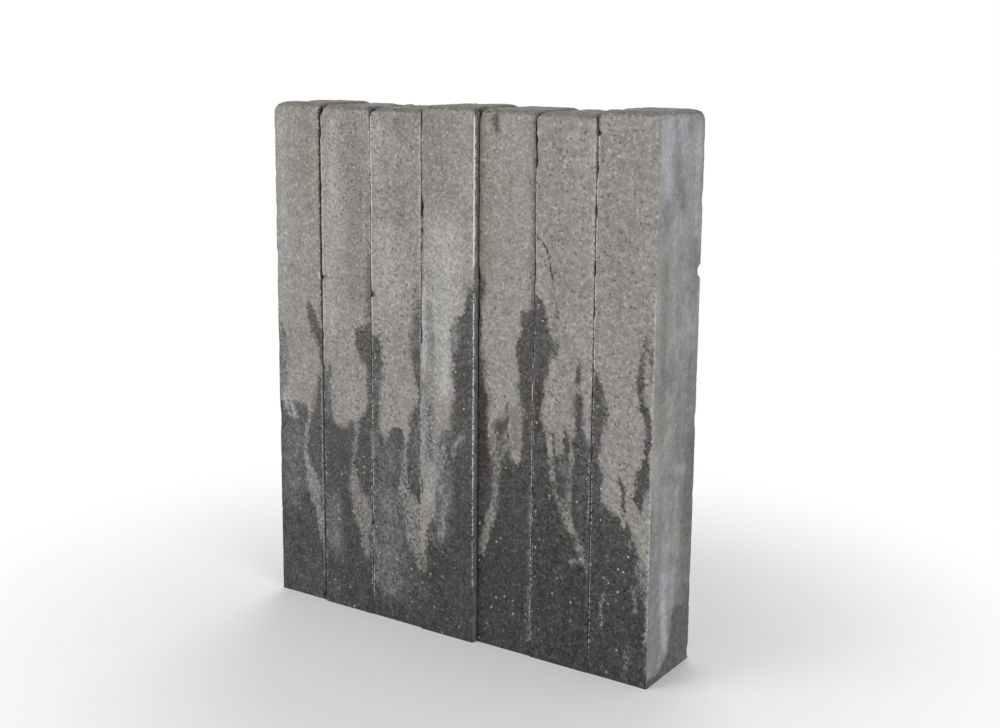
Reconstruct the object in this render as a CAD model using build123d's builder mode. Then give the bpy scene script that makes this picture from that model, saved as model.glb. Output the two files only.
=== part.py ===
"""Block of seven precast concrete palisades that stand tight together in one row.

Each palisade is one cast piece: a plain rectangular post with tight upright arrises and a crown,
which is its top with all four edges rounded. The palisades rest on the same level ground and only
lean on each other, so each one is a solid of its own with a dry joint to the next.

Frame: +Z up, X along the row from left to right, the weathered front faces -Y, and the origin is
at the middle of the row's foot. Sizes are in millimetres.
"""

import os

from build123d import *

# One palisade as it leaves the mould
palisade_width = 120.0
palisade_depth = 165.0
palisade_length = 1000.0
crown_radius = 18.0
arris_radius = 3.0

# The row: a dry joint, and how each palisade was set and cast, from left to right.
# face_step is how far the front stands proud of the row's line.
# length_trim is how much longer than nominal the piece was cast.
joint_gap = 0.8
face_steps = [0.0, 4.0, 3.0, 6.0, -6.0, -4.0, -5.0]
length_trims = [0.0, -3.0, -4.0, 3.0, 0.0, -2.0, 5.0]

palisade_pitch = palisade_width + joint_gap
row_middle = (len(face_steps) - 1) / 2

os.makedirs("parts", exist_ok=True)

for place, (face_step, length_trim) in enumerate(zip(face_steps, length_trims)):
    foot = Vector((place - row_middle) * palisade_pitch, -face_step, 0)
    length = palisade_length + length_trim

    with BuildPart() as palisade:
        # The shaft: the plan outline with its small upright arrises
        with BuildSketch(Plane(origin=foot)):
            RectangleRounded(palisade_width, palisade_depth, arris_radius)
        extrude(amount=length)

        # The crown, seen from the front: the left and right top edges are rounded.
        # Each outline is run well past the shaft's faces, and only what lies in both stays.
        with BuildSketch(Plane(origin=foot, x_dir=(1, 0, 0), z_dir=(0, -1, 0))) as front_outline:
            Rectangle(palisade_width, length, align=(Align.CENTER, Align.MIN))
            fillet(front_outline.vertices().group_by(Axis.Y)[-1], crown_radius)
        extrude(amount=palisade_depth, both=True, mode=Mode.INTERSECT)

        # The crown, seen from the side: the front and back top edges are rounded
        with BuildSketch(Plane(origin=foot, x_dir=(0, 1, 0), z_dir=(1, 0, 0))) as side_outline:
            Rectangle(palisade_depth, length, align=(Align.CENTER, Align.MIN))
            fillet(side_outline.vertices().group_by(Axis.Y)[-1], crown_radius)
        extrude(amount=palisade_width, both=True, mode=Mode.INTERSECT)

    palisade.part.label = f"palisade_{place + 1}"
    export_step(palisade.part, f"parts/{palisade.part.label}.step")
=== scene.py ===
# %% [markdown]
# # A block of seven concrete palisades
# Seven cast concrete posts stand side by side on their feet. Weather has marked them: the upper half
# is dry and warm grey, and ground water climbs the lower half, highest along the joints, so that a
# dry tongue hangs down the middle of each post. The CAD frame gives every post its place and size,
# and each step below adds what the mould, the handling and the weather left on it.

# %% Load the frame
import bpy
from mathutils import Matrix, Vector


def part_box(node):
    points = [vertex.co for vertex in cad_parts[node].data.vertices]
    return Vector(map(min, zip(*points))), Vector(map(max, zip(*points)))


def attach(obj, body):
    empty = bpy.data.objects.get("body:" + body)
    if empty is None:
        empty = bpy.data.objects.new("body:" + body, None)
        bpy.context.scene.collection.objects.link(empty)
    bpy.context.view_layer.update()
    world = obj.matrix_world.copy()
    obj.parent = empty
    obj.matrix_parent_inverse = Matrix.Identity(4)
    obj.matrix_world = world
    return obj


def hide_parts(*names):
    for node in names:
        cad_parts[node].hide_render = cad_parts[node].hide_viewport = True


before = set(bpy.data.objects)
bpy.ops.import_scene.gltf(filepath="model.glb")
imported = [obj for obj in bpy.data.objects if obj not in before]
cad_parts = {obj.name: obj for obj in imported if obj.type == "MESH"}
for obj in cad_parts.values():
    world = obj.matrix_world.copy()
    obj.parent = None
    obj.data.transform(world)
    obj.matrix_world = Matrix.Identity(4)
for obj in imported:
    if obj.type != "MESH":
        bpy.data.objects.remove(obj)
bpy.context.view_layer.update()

# %% Tools and the row of posts
import math

import bmesh
import bpy
import numpy as np
from mathutils import Matrix, Vector, noise

palisades = [f"palisade_{place}" for place in range(1, 8)]
first_palisade = palisades[0]
last_palisade = palisades[-1]
post_box = {name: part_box(name) for name in palisades}
print("posts", len(palisades))

# %% [markdown]
# ## The cast post
# A palisade comes out of its steel mould as a plain post with tight arrises and a rounded crown.
# It could be carried over from the CAD solid, but that has only a few long faces, and the worn skin
# needs small even ones. So a cube is scaled to the post's box, its four top edges and then its
# upright edges are bevelled, and the long edges are cut into a fine lattice, one direction at a time.

# %% Cast one post
crown_radius = 0.018
crown_steps = 7
arris_radius = 0.0015
arris_steps = 2
sharp_edge = math.radians(17)
nearly_all = 0.99
# Each cut of the lattice is (axis, size of a cell, shortest edge that is cut).
lattice = ((2, 0.0028, 0.5), (0, 0.0028, 0.05), (1, 0.0055, 0.05))


def runs_along(edge, axis):
    step = edge.verts[1].co - edge.verts[0].co
    return abs(step[axis]) > nearly_all * step.length


def round_edges(post, edges, radius, steps):
    bmesh.ops.bevel(post, geom=edges, offset=radius, offset_type="OFFSET", affect="EDGES",
                    segments=steps, profile=0.5, material=-1)


def cast_post(low, high):
    post = bmesh.new()
    bmesh.ops.create_cube(post, size=1.0)
    bmesh.ops.scale(post, vec=high - low, verts=post.verts)
    bmesh.ops.translate(post, vec=(low + high) / 2, verts=post.verts)
    top_edges = [e for e in post.edges if min(v.co.z for v in e.verts) > high.z - crown_radius]
    round_edges(post, top_edges, crown_radius, crown_steps)
    foot_height = low.z + arris_radius
    arrises = [e for e in post.edges
               if e.calc_face_angle() > sharp_edge and max(v.co.z for v in e.verts) > foot_height]
    round_edges(post, arrises, arris_radius, arris_steps)
    for axis, cell, shortest in lattice:
        long_edges = [e for e in post.edges if runs_along(e, axis) and e.calc_length() > shortest]
        cuts = round(max(e.calc_length() for e in long_edges) / cell) - 1
        bmesh.ops.subdivide_edges(post, edges=long_edges, cuts=cuts, use_grid_fill=True)
    return post


posts = {name: cast_post(*post_box[name]) for name in palisades}
print("faces on each post", {name: len(post.faces) for name, post in posts.items()})

# %% [markdown]
# ## Wear on the shape
# Cast concrete is never flat: the mould leaves slow hollows, sand and small stones stand a little
# proud, air leaves pits, and arrises chip when the posts knock together. A sculpted mesh could show
# this, but a formula is steadier: each vertex is pushed a little way in along its own normal, and
# never out, so that the post stays inside the size it was cast to.

# %% Skin relief
hollow_depth, hollow_scale = 0.0007, 9
grain_depth, grain_scale = 0.00045, 190
pit_depth, pit_scale, pit_start = 0.0022, 85, 0.50
chip_depth, chip_start, chip_reach = 0.0050, 0.18, 0.010
chip_scale = Vector((60, 60, 28))
crown_wear_depth, crown_wear_scale = 0.0070, 26
crown_wear_reach = 1.6 * crown_radius
pit_place = Vector((3.1, 7.7, 1.3))
chip_place = Vector((5.9, 2.3, 8.1))


def half_noise(point):
    return 0.5 + 0.5 * noise.noise(point)


def arris_nearness(point, low, high):
    across = min(point.x - low.x, high.x - point.x)
    along = min(point.y - low.y, high.y - point.y)
    return max(0.0, 1.0 - math.hypot(across, along) / chip_reach)


def skin_depth(point, low, high):
    depth = hollow_depth * half_noise(point * hollow_scale)
    depth += grain_depth * half_noise(point * grain_scale)
    pit = max(0.0, noise.noise(point * pit_scale + pit_place) - pit_start)
    depth += pit_depth * pit / (1 - pit_start)
    chip = max(0.0, noise.noise(point * chip_scale + chip_place) - chip_start)
    depth += chip_depth * chip * arris_nearness(point, low, high)
    crown_share = max(0.0, 1.0 - (high.z - point.z) / crown_wear_reach)
    depth += crown_wear_depth * crown_share * max(0.0, noise.noise(point * crown_wear_scale))
    return depth


middle_post = post_box["palisade_4"]
front_middle = Vector((0.0, middle_post[0].y, 0.5))
print("skin depth at one place, in mm", round(1000 * skin_depth(front_middle, *middle_post), 2))

# %% Chips and hollows placed one by one
# Each is (across the front, height, half width, half height, depth), across from 0 left to 1 right.
# The one in a back arris has no place across.
front_blemishes = {
    "palisade_1": [(0.09, 0.655, 0.013, 0.0030, 0.0020), (1.00, 0.665, 0.005, 0.006, 0.004),
                   (1.00, 0.006, 0.011, 0.020, 0.009)],
    "palisade_2": [(0.02, 0.665, 0.006, 0.005, 0.004), (0.00, 0.985, 0.010, 0.012, 0.006)],
    "palisade_3": [(0.02, 0.645, 0.007, 0.008, 0.005)],
    "palisade_4": [(0.02, 0.815, 0.006, 0.022, 0.003), (0.03, 0.775, 0.005, 0.008, 0.003)],
    "palisade_5": [(0.27, 0.972, 0.009, 0.022, 0.004), (1.00, 0.960, 0.004, 0.028, 0.003)],
    "palisade_6": [(0.01, 0.930, 0.004, 0.040, 0.002), (0.00, 0.320, 0.006, 0.010, 0.004)],
    "palisade_7": [(0.02, 0.965, 0.005, 0.006, 0.004)],
}
back_arris_chip = {"palisade_7": (0.722, 0.011, 0.013, 0.009)}
broken_edge, broken_scale = 0.9, 110
front_reach = 2 * chip_reach


def broken_hollow(point, side, rise, deepest):
    ragged = broken_edge * noise.noise(point * broken_scale + chip_place)
    return deepest * max(0.0, 1.0 + ragged - side ** 2 - rise ** 2)


def blemish_depth(name, point, low, high):
    depth = 0.0
    if point.y < low.y + front_reach:
        for across, height, half_width, half_height, deepest in front_blemishes[name]:
            side = (point.x - low.x - across * (high.x - low.x)) / half_width
            rise = (point.z - height) / half_height
            depth += broken_hollow(point, side, rise, deepest)
    elif name in back_arris_chip:
        height, half_width, half_height, deepest = back_arris_chip[name]
        side = math.hypot(high.x - point.x, high.y - point.y) / half_width
        rise = (point.z - height) / half_height
        depth += broken_hollow(point, side, rise, deepest)
    return depth


chips = sum(len(blemishes) for blemishes in front_blemishes.values()) + len(back_arris_chip)
print("chips and hollows placed by hand", chips)

# %% Wear every post
# The places and normals as cast are kept too: the marks are drawn by them, so that a hollow under an
# arris doesn't break a line along it.
cast_places, cast_normals = {}, {}


def wear_post(name):
    post = posts[name]
    low, high = post_box[name]
    post.normal_update()
    cast_places[name] = np.array([vert.co for vert in post.verts])
    cast_normals[name] = np.array([vert.normal for vert in post.verts])
    deepest = 0.0
    for vert in post.verts:
        if vert.co.z > low.z + arris_radius:
            depth = skin_depth(vert.co, low, high) + blemish_depth(name, vert.co, low, high)
            vert.co = vert.co - depth * vert.normal
            deepest = max(deepest, depth)
    return deepest


deepest_wear = {name: wear_post(name) for name in palisades}
print("deepest wear in mm", {name: round(1000 * depth, 1) for name, depth in deepest_wear.items()})

# %% [markdown]
# ## Where the damp, the streaks and the stains lie
# The marks are different on every post, so a noise alone can't place them. They are drawn once, in
# the post's own measure: across the front from 0 at the left arris to 1 at the right, and the height
# above the foot in metres. The damp edge is one line from arris to arris, and what lies under it is
# wet. Marks inside it are brush strokes, with a half width in millimetres at each point.

# %% The damp edge on each front
damp_edges = {
    "palisade_1": [(0.00, 0.565), (0.10, 0.560), (0.20, 0.510), (0.16, 0.450), (0.06, 0.404), (0.52, 0.400),
                   (0.70, 0.392), (0.77, 0.425), (0.86, 0.462), (0.97, 0.475), (0.93, 0.510), (0.77, 0.545),
                   (0.63, 0.585), (0.66, 0.613), (0.79, 0.590), (0.90, 0.565), (1.00, 0.555)],
    "palisade_2": [(0.00, 0.485), (0.12, 0.470), (0.14, 0.400), (0.18, 0.372), (0.48, 0.372), (0.55, 0.386),
                   (0.70, 0.384), (0.84, 0.400), (0.96, 0.440), (0.94, 0.503), (0.80, 0.515), (0.68, 0.540),
                   (0.70, 0.568), (0.85, 0.578), (1.00, 0.590)],
    "palisade_3": [(0.00, 0.572), (0.20, 0.565), (0.21, 0.510), (0.17, 0.450), (0.18, 0.405), (0.12, 0.376),
                   (0.30, 0.362), (0.42, 0.385), (0.60, 0.392), (0.68, 0.368), (0.76, 0.390), (0.84, 0.425),
                   (0.94, 0.450), (0.88, 0.500), (0.80, 0.540), (0.73, 0.570), (0.78, 0.605), (0.86, 0.640),
                   (1.00, 0.640)],
    "palisade_4": [(0.00, 0.130), (0.06, 0.165), (0.12, 0.200), (0.24, 0.230), (0.31, 0.268), (0.32, 0.310),
                   (0.34, 0.395), (0.58, 0.412), (0.60, 0.450), (0.63, 0.490), (0.60, 0.550), (0.61, 0.600),
                   (0.72, 0.616), (0.82, 0.640), (0.86, 0.675), (1.00, 0.690)],
    "palisade_5": [(0.00, 0.700), (0.12, 0.685), (0.10, 0.660), (0.04, 0.640), (0.05, 0.560), (0.16, 0.535),
                   (0.18, 0.490), (0.21, 0.478), (0.20, 0.415), (0.25, 0.400), (0.31, 0.422), (0.35, 0.434),
                   (0.44, 0.432), (0.50, 0.440), (0.55, 0.444), (0.58, 0.405), (0.62, 0.380), (0.66, 0.366),
                   (0.73, 0.364), (0.79, 0.390), (0.81, 0.415), (0.81, 0.450), (0.77, 0.485), (0.745, 0.520),
                   (0.69, 0.578), (0.74, 0.600), (0.77, 0.640), (1.00, 0.645)],
    "palisade_6": [(0.00, 0.680), (0.15, 0.668), (0.20, 0.640), (0.29, 0.615), (0.42, 0.592), (0.28, 0.565),
                   (0.20, 0.510), (0.18, 0.460), (0.25, 0.420), (0.29, 0.388), (0.45, 0.395), (0.62, 0.395),
                   (0.69, 0.385), (0.71, 0.430), (0.69, 0.470), (0.71, 0.505), (0.76, 0.522), (0.86, 0.512),
                   (0.88, 0.450), (1.00, 0.425)],
    "palisade_7": [(0.00, 0.560), (0.15, 0.540), (0.22, 0.500), (0.26, 0.480), (0.18, 0.440), (0.12, 0.400),
                   (0.20, 0.375), (0.22, 0.318), (0.47, 0.302), (0.55, 0.280), (0.61, 0.262), (0.68, 0.245),
                   (0.80, 0.228), (0.88, 0.208), (0.94, 0.188), (1.00, 0.168)],
}
print("points on the damp edges", sum(len(edge) for edge in damp_edges.values()))

# %% Damp runs on each front
# Each stroke is a run of (across, height, half width in millimetres).
def count_strokes(marks):
    return sum(len(strokes) for strokes in marks.values())


damp_runs = {
    "palisade_2": [[(0.13, 0.492, 2), (0.18, 0.466, 3)]],
    "palisade_3": [[(0.86, 0.660, 2), (0.88, 0.630, 3), (0.87, 0.600, 5)]],
    "palisade_6": [[(0.78, 0.562, 2), (0.77, 0.530, 4)], [(0.35, 0.440, 2), (0.38, 0.400, 4)],
                   [(0.57, 0.435, 3), (0.60, 0.400, 5)],
                   [(0.36, 0.672, 2), (0.39, 0.650, 3), (0.34, 0.618, 2), (0.40, 0.590, 4),
                    (0.36, 0.572, 4)]],
    "palisade_7": [[(0.91, 0.640, 1), (0.84, 0.610, 4), (0.79, 0.585, 5), (0.76, 0.550, 5), (0.77, 0.520, 6),
                    (0.84, 0.500, 6), (0.92, 0.485, 5), (0.94, 0.450, 4), (0.91, 0.420, 5), (0.86, 0.395, 9),
                    (0.83, 0.370, 12), (0.81, 0.345, 11), (0.83, 0.320, 6)],
                   [(0.94, 0.605, 1), (0.94, 0.560, 3), (0.95, 0.540, 1)],
                   [(0.50, 0.375, 2), (0.54, 0.355, 4), (0.56, 0.330, 3), (0.57, 0.305, 1)],
                   [(0.60, 0.302, 2), (0.64, 0.272, 3)], [(0.72, 0.264, 2), (0.77, 0.232, 4)],
                   [(0.86, 0.217, 2), (0.93, 0.205, 2)]],
}
print("damp runs", count_strokes(damp_runs))

# %% Light streaks on each front
# A streak is a path inside the damp that has dried again.
light_streaks = {
    "palisade_1": [[(0.70, 0.420, 5), (0.66, 0.365, 5), (0.58, 0.340, 6), (0.555, 0.300, 5), (0.60, 0.280, 8),
                    (0.67, 0.255, 14), (0.75, 0.228, 17), (0.82, 0.200, 13), (0.86, 0.175, 8),
                    (0.90, 0.120, 2)],
                   [(0.13, 0.405, 4), (0.16, 0.390, 6)],
                   [(0.22, 0.412, 4), (0.27, 0.396, 6), (0.33, 0.378, 7)],
                   [(0.20, 0.378, 3), (0.40, 0.372, 4)], [(0.44, 0.412, 3), (0.56, 0.408, 3)]],
    "palisade_2": [[(0.68, 0.380, 3), (0.65, 0.345, 4), (0.63, 0.310, 4), (0.63, 0.280, 8), (0.66, 0.250, 12),
                    (0.76, 0.220, 22), (0.82, 0.195, 20), (0.86, 0.165, 13), (0.87, 0.140, 11),
                    (0.89, 0.120, 4)]],
    "palisade_3": [[(0.72, 0.385, 4), (0.66, 0.340, 5), (0.64, 0.300, 9), (0.68, 0.265, 14),
                    (0.80, 0.230, 21), (0.85, 0.195, 20), (0.90, 0.160, 14), (0.93, 0.125, 6)]],
    "palisade_4": [[(0.77, 0.398, 4), (0.66, 0.378, 4), (0.61, 0.350, 1)],
                   [(0.08, 0.180, 6), (0.03, 0.120, 3)]],
    "palisade_5": [[(0.24, 0.430, 5), (0.27, 0.400, 8), (0.32, 0.375, 9), (0.35, 0.345, 9), (0.345, 0.310, 7),
                    (0.29, 0.270, 8), (0.21, 0.240, 7), (0.14, 0.205, 5), (0.10, 0.175, 2.5)],
                   [(0.61, 0.398, 4), (0.50, 0.386, 4), (0.40, 0.365, 5)],
                   [(0.56, 0.420, 2), (0.46, 0.404, 2), (0.36, 0.388, 3)]],
    "palisade_6": [[(0.29, 0.420, 4), (0.31, 0.380, 5), (0.37, 0.345, 5), (0.44, 0.318, 4), (0.55, 0.292, 4),
                    (0.66, 0.268, 8), (0.82, 0.240, 8), (0.90, 0.215, 8), (0.97, 0.190, 4)],
                   [(0.82, 0.208, 1.5), (0.71, 0.201, 1.5)],
                   [(0.69, 0.400, 4), (0.67, 0.360, 3), (0.65, 0.330, 3), (0.62, 0.300, 3), (0.65, 0.280, 5)],
                   [(0.94, 0.500, 4), (0.94, 0.450, 5), (0.96, 0.430, 3)]],
    "palisade_7": [[(0.23, 0.160, 1), (0.22, 0.130, 2), (0.25, 0.090, 1)],
                   [(0.68, 0.080, 1), (0.70, 0.060, 2), (0.67, 0.030, 1)],
                   [(0.77, 0.180, 1), (0.78, 0.140, 2)],
                   [(0.985, 0.160, 2), (0.985, 0.030, 2)]],
}
print("light streaks", count_strokes(light_streaks))

# %% [markdown]
# ## Soft marks
# Lime, sun bleach, a drying film, deep soaking, rust and grime have no edge of their own: they fade
# out. They could be painted on a picture, but a picture has only so many pixels. So each is a soft
# stroke, drawn like the streaks, with its strength written ahead of it. At a strength of 1 the middle
# of the stroke is covered, and above 1 more of it is.

# %% Lime bloom on each front
lime_bloom = {
    "palisade_1": [(0.10, [(0.30, 0.330, 38), (0.25, 0.240, 35)]),
                   (0.34, [(0.69, 0.425, 4), (0.65, 0.370, 4), (0.57, 0.340, 5)]),
                   (0.28, [(0.58, 0.300, 6), (0.67, 0.260, 9), (0.76, 0.235, 10)]),
                   (0.24, [(0.950, 0.480, 2.5), (0.950, 0.040, 2.5)]),
                   (0.50, [(0.13, 0.406, 3), (0.17, 0.388, 4)]),
                   (0.60, [(0.21, 0.412, 3), (0.27, 0.396, 4), (0.33, 0.377, 5)]),
                   (0.45, [(0.20, 0.375, 3), (0.40, 0.372, 3)])],
    "palisade_2": [(0.26, [(0.20, 0.215, 22), (0.20, 0.130, 22)])],
    "palisade_3": [(0.26, [(0.35, 0.240, 40), (0.38, 0.150, 46), (0.40, 0.080, 40)]),
                   (0.14, [(0.30, 0.340, 36), (0.30, 0.280, 36)]),
                   (0.34, [(0.12, 0.062, 4), (0.52, 0.060, 4)])],
    "palisade_4": [(0.32, [(0.05, 0.650, 8), (0.05, 0.530, 8)]),
                   (0.22, [(0.14, 0.440, 20), (0.13, 0.270, 16)]),
                   (0.28, [(0.77, 0.398, 3), (0.66, 0.379, 3)])],
    "palisade_6": [(0.32, [(0.94, 0.510, 4), (0.94, 0.440, 4)])],
}
print("lime strokes", count_strokes(lime_bloom))

# %% Sun bleach on each front
sun_bleach = {
    "palisade_1": [(0.42, [(0.14, 0.970, 18), (0.15, 0.700, 20), (0.15, 0.600, 16)])],
    "palisade_2": [(0.60, [(0.22, 0.955, 16), (0.22, 0.800, 20), (0.20, 0.660, 18), (0.18, 0.560, 14)]),
                   (0.60, [(0.03, 0.965, 6), (0.03, 0.570, 6)])],
    "palisade_3": [(0.45, [(0.15, 0.955, 16), (0.15, 0.860, 16)]),
                   (0.45, [(0.35, 0.750, 34), (0.30, 0.650, 34)]),
                   (0.50, [(0.955, 0.960, 5), (0.955, 0.730, 5)])],
    "palisade_4": [(0.85, [(0.50, 0.760, 44), (0.46, 0.640, 46), (0.42, 0.480, 26)]),
                   (0.90, [(0.06, 0.665, 6), (0.05, 0.520, 6)])],
}
print("bleach strokes", count_strokes(sun_bleach))

# %% Drying film on each front
# A number by itself is a thin even film over the whole front of a post that has begun to dry.
moist_film = {
    "palisade_1": [(0.75, [(0.06, 0.555, 12), (0.10, 0.500, 16), (0.08, 0.430, 12)]),
                   (0.38, [(0.18, 0.392, 10), (0.34, 0.380, 14), (0.46, 0.388, 10)]),
                   (0.26, [(0.30, 0.330, 40), (0.30, 0.200, 40)])],
    "palisade_2": [(0.35, [(0.06, 0.470, 9), (0.07, 0.390, 9)]),
                   (0.25, [(0.96, 0.280, 6), (0.96, 0.130, 6)])],
    "palisade_3": [(0.25, [(0.10, 0.500, 12), (0.10, 0.420, 12)]),
                   (0.60, [(0.85, 0.625, 14), (0.86, 0.560, 12)]),
                   (0.28, [(0.87, 0.400, 12), (0.88, 0.310, 14)]),
                   (0.22, [(0.03, 0.430, 6), (0.04, 0.140, 7)]),
                   (0.42, [(0.06, 0.130, 14), (0.10, 0.072, 13)]),
                   (0.50, [(0.965, 0.440, 8), (0.965, 0.290, 8)]),
                   (0.22, [(0.96, 0.130, 12), (0.96, 0.040, 12)])],
    "palisade_4": [(1.00, [(0.14, 0.490, 18), (0.14, 0.340, 18)]),
                   (0.18, [(0.12, 0.310, 16), (0.10, 0.240, 12), (0.05, 0.180, 7)]),
                   (1.20, [(0.15, 0.640, 9), (0.18, 0.580, 11), (0.19, 0.520, 11)]),
                   (0.70, [(0.46, 0.400, 20), (0.42, 0.300, 26), (0.34, 0.200, 24)]),
                   (0.75, [(0.65, 0.605, 9), (0.64, 0.560, 8)]),
                   (0.14, [(0.04, 0.130, 12), (0.04, 0.040, 12)])],
    "palisade_5": [(0.32, [(0.30, 0.398, 10), (0.42, 0.380, 13), (0.56, 0.396, 10)]),
                   (0.40, [(0.11, 0.530, 8), (0.14, 0.500, 8)]),
                   (0.30, [(0.96, 0.320, 5), (0.96, 0.030, 5)])],
    "palisade_6": [(0.45, [(0.50, 0.400, 14), (0.55, 0.370, 12)]),
                   (0.16, [(0.86, 0.400, 12), (0.86, 0.290, 12)])],
    "palisade_7": [(0.25, [(0.66, 0.300, 16), (0.80, 0.260, 18)]),
                   (0.68, [(0.86, 0.220, 14), (0.92, 0.190, 13), (0.96, 0.160, 8)])],
}
first_drying = {
    "palisade_1": 0.10,
    "palisade_2": 0.09,
    "palisade_3": 0.07,
    "palisade_4": 0.05,
    "palisade_7": 0.03,
}
print("film strokes", count_strokes(moist_film), "even films", len(first_drying))

# %% Deep soaking on each front
deep_soak = {
    "palisade_1": [(0.50, [(0.78, 0.580, 9), (0.88, 0.545, 9)])],
    "palisade_4": [(0.45, [(0.80, 0.540, 14), (0.80, 0.460, 14)])],
    "palisade_5": [(1.00, [(0.07, 0.530, 6), (0.11, 0.470, 11), (0.10, 0.420, 11), (0.14, 0.340, 14)]),
                   (0.25, [(0.86, 0.610, 14), (0.87, 0.500, 12)]),
                   (0.80, [(0.57, 0.425, 3), (0.50, 0.405, 3), (0.42, 0.385, 3)]),
                   (0.80, [(0.61, 0.398, 2.5), (0.52, 0.378, 2.5)])],
    "palisade_6": [(0.90, [(0.08, 0.520, 10), (0.08, 0.440, 10)])],
    "palisade_7": [(0.25, [(0.08, 0.520, 10), (0.08, 0.440, 10)])],
}
print("soaked strokes", count_strokes(deep_soak))

# %% Rust and grime on each front
rust_tint = {
    "palisade_1": [(0.45, [(0.70, 0.900, 22), (0.72, 0.790, 18)])],
    "palisade_2": [(0.45, [(0.72, 0.950, 20), (0.74, 0.915, 20)])],
    "palisade_3": [(0.45, [(0.58, 0.965, 25), (0.72, 0.930, 18)])],
    "palisade_5": [(0.80, [(0.08, 0.980, 14), (0.10, 0.850, 20), (0.09, 0.760, 16), (0.06, 0.690, 10)])],
}
grime_and_shade = {
    "palisade_1": [(0.14, [(0.65, 0.970, 24), (0.65, 0.890, 22)])],
    "palisade_2": [(0.26, [(0.70, 0.970, 26), (0.72, 0.800, 28), (0.72, 0.640, 28)]),
                   (0.40, [(0.965, 0.860, 5), (0.960, 0.720, 7)]),
                   (0.80, [(0.965, 0.720, 7), (0.950, 0.600, 10)])],
    "palisade_3": [(0.24, [(0.62, 0.835, 30), (0.60, 0.790, 30)]),
                   (0.20, [(0.75, 0.970, 26), (0.75, 0.930, 22)])],
    "palisade_4": [(0.30, [(0.28, 0.970, 44), (0.28, 0.860, 38)])],
    "palisade_5": [(1.00, [(0.28, 0.992, 9), (0.30, 0.962, 8)]),
                   (0.50, [(0.965, 0.985, 7), (0.965, 0.640, 7)]),
                   (0.55, [(0.67, 0.455, 13), (0.69, 0.395, 12)]),
                   (1.00, [(0.34, 0.426, 12), (0.43, 0.434, 12)]),
                   (1.00, [(0.48, 0.430, 9), (0.54, 0.447, 7), (0.53, 0.470, 3)])],
    "palisade_6": [(0.10, [(0.50, 0.940, 60), (0.50, 0.700, 60)])],
    "palisade_7": [(0.10, [(0.50, 0.940, 60), (0.50, 0.600, 60)]),
                   (0.55, [(0.88, 0.215, 12), (0.95, 0.185, 10)])],
}
print("rust strokes", count_strokes(rust_tint), "grime strokes", count_strokes(grime_and_shade))

# %% [markdown]
# ## Lines along the joints
# Where two posts meet, cement milk has dried to a pale line on the arris, and dirt has gathered in the
# joint. The pale line is also a painted highlight where an arris or the side strip of a proud post would
# catch the light, and the dark line is also a painted shadow where the joint lies in shade. Thin strips
# of mesh could show them, but on the real block they have no thickness, so they are soft strokes too.
# One at 0 lies on the left arris, and one at 1 on the right arris and the side behind it. The dark line
# also draws the hair cracks and one speckled place.

# %% Cement skin and painted highlight along the joints
cement_skin_and_highlight = {
    "palisade_1": [(0.90, [(0.92, 0.670, 3), (0.93, 0.660, 3)]),
                   (0.45, [(0.935, 0.480, 3), (0.935, 0.050, 3)])],
    "palisade_2": [(0.60, [(1.00, 0.960, 2), (1.00, 0.720, 2)]), (0.45, [(1.00, 0.480, 2), (1.00, 0.050, 2)]),
                   (0.36, [(0.020, 0.440, 3), (0.020, 0.040, 3)]),
                   (0.55, [(0.012, 0.960, 2), (0.012, 0.500, 2)])],
    "palisade_3": [(0.85, [(0.01, 0.975, 3), (0.01, 0.590, 3)]), (0.45, [(0.01, 0.590, 3), (0.01, 0.440, 3)]),
                   (0.62, [(0.012, 0.440, 2.5), (0.012, 0.040, 2.5)]),
                   (0.50, [(0.97, 0.960, 3), (0.97, 0.560, 3)]), (0.72, [(0.99, 0.560, 3), (0.99, 0.160, 3)]),
                   (0.50, [(1.00, 0.160, 2), (1.00, 0.030, 2)])],
    # The right arris of palisade_4 and the side strip behind it are cement skin and a painted highlight.
    "palisade_4": [(1.20, [(0.988, 0.985, 2), (0.988, 0.720, 2)]),
                   (0.78, [(0.988, 0.720, 2), (0.988, 0.300, 2)]),
                   (0.58, [(0.988, 0.300, 2), (0.988, 0.110, 2)])],
    "palisade_5": [(0.60, [(0.985, 0.560, 2), (0.985, 0.030, 2)])],
    "palisade_6": [(0.60, [(0.008, 0.970, 2.5), (0.008, 0.700, 2.5)]),
                   (0.60, [(0.00, 0.620, 2.5), (0.00, 0.030, 2.5)]),
                   (0.48, [(0.97, 0.960, 3), (0.97, 0.500, 3)]), (0.48, [(1.00, 0.960, 2), (1.00, 0.500, 2)]),
                   (0.50, [(0.98, 0.430, 3), (0.98, 0.290, 3)]),
                   (0.20, [(0.98, 0.290, 3), (0.98, 0.030, 3)])],
    "palisade_7": [(0.75, [(0.008, 0.960, 2.5), (0.008, 0.560, 2.5)]),
                   (0.50, [(0.012, 0.560, 2.5), (0.012, 0.030, 2.5)]),
                   (0.55, [(0.99, 0.700, 4), (0.99, 0.100, 4)])],
}
print("cement lines", count_strokes(cement_skin_and_highlight))
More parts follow.
